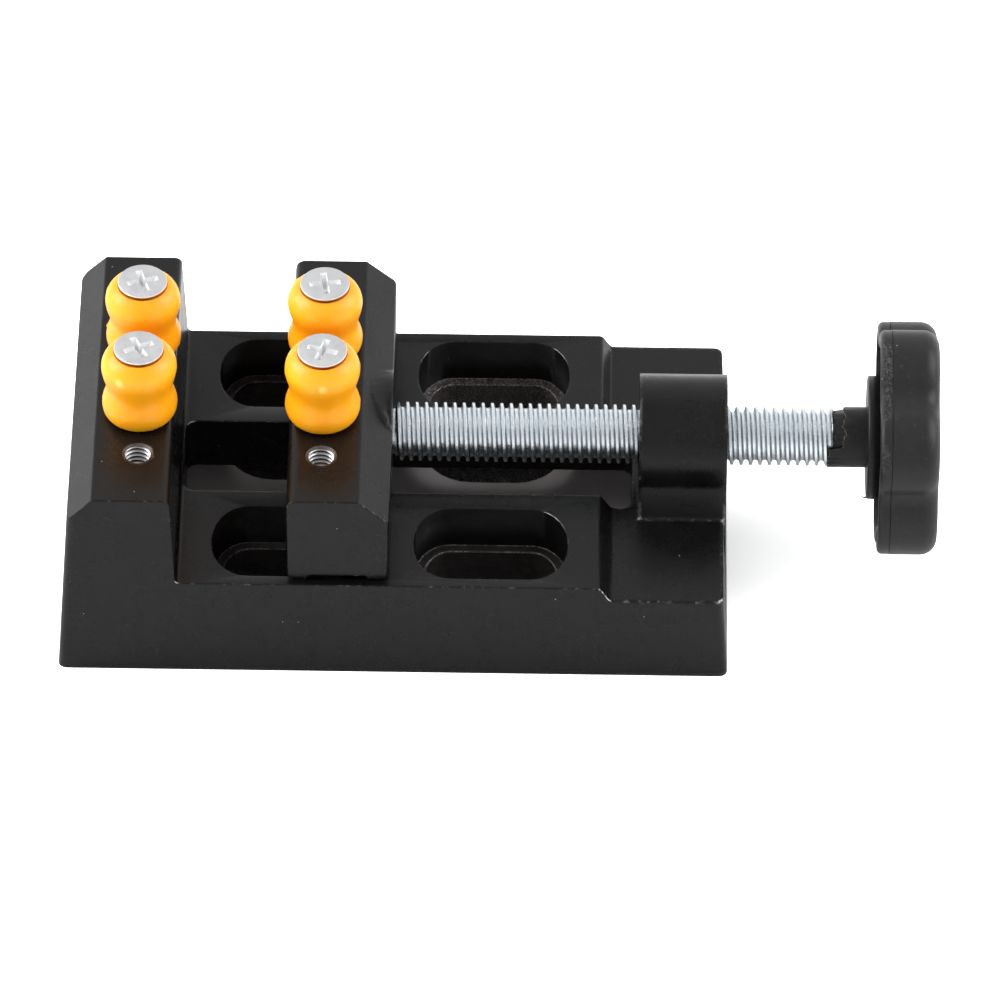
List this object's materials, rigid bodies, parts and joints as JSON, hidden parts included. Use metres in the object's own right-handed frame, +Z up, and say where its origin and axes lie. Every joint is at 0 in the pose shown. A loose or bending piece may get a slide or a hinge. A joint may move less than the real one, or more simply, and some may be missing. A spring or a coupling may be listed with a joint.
{
  "type": "mini bench vise",
  "caption": "Small die-cast table vise with a slotted base, a screw-driven sliding jaw on a channel, plastic clamping pegs screwed to both jaws and a star knob.",
  "frame": {"origin": "on the table, under the middle of the whole vise's box, knob included", "axes": "+X from the fixed jaw to the knob along the lead screw, +Y across the vise to its far side as pictured, +Z up from the table"},
  "size_m": [0.1158, 0.0514, 0.0399],
  "materials": {
    "black_coated_casting": "satin",
    "black_plastic": "satin",
    "orange_plastic": "satin",
    "zinc_plated_steel": "satin",
    "dark_plate_steel": "satin"
  },
  "bodies": {
    "base": {"base_casting": "black_coated_casting", "fixed_peg_near": "orange_plastic", "fixed_peg_far": "orange_plastic", "fixed_peg_screw_near": "zinc_plated_steel", "fixed_peg_screw_far": "zinc_plated_steel"},
    "jaw_carriage": {"moving_jaw": "black_coated_casting", "guide_plate": "dark_plate_steel", "guide_plate_screw_near": "zinc_plated_steel", "guide_plate_screw_far": "zinc_plated_steel", "moving_peg_near": "orange_plastic", "moving_peg_far": "orange_plastic", "moving_peg_screw_near": "zinc_plated_steel", "moving_peg_screw_far": "zinc_plated_steel"},
    "screw": {"lead_screw": "zinc_plated_steel", "thrust_washer": "zinc_plated_steel", "retaining_clip": "dark_plate_steel", "knob": "black_plastic"}
  },
  "joints": [
    {"name": "jaw_slide", "type": "slide", "parent": "base", "child": "jaw_carriage", "axis": [1, 0, 0], "range_m": [-0.0125, 0.03125]},
    {"name": "screw_turn", "type": "hinge", "parent": "jaw_carriage", "child": "screw", "pos_m": [-0.01418, 0, 0.01965], "axis": [1, 0, 0], "range_deg": [-3600, 9000]}
  ],
  "couplings": [
    {"joint": "screw_turn", "follows": "jaw_slide", "rad_per_m": 5026.5}
  ]
}
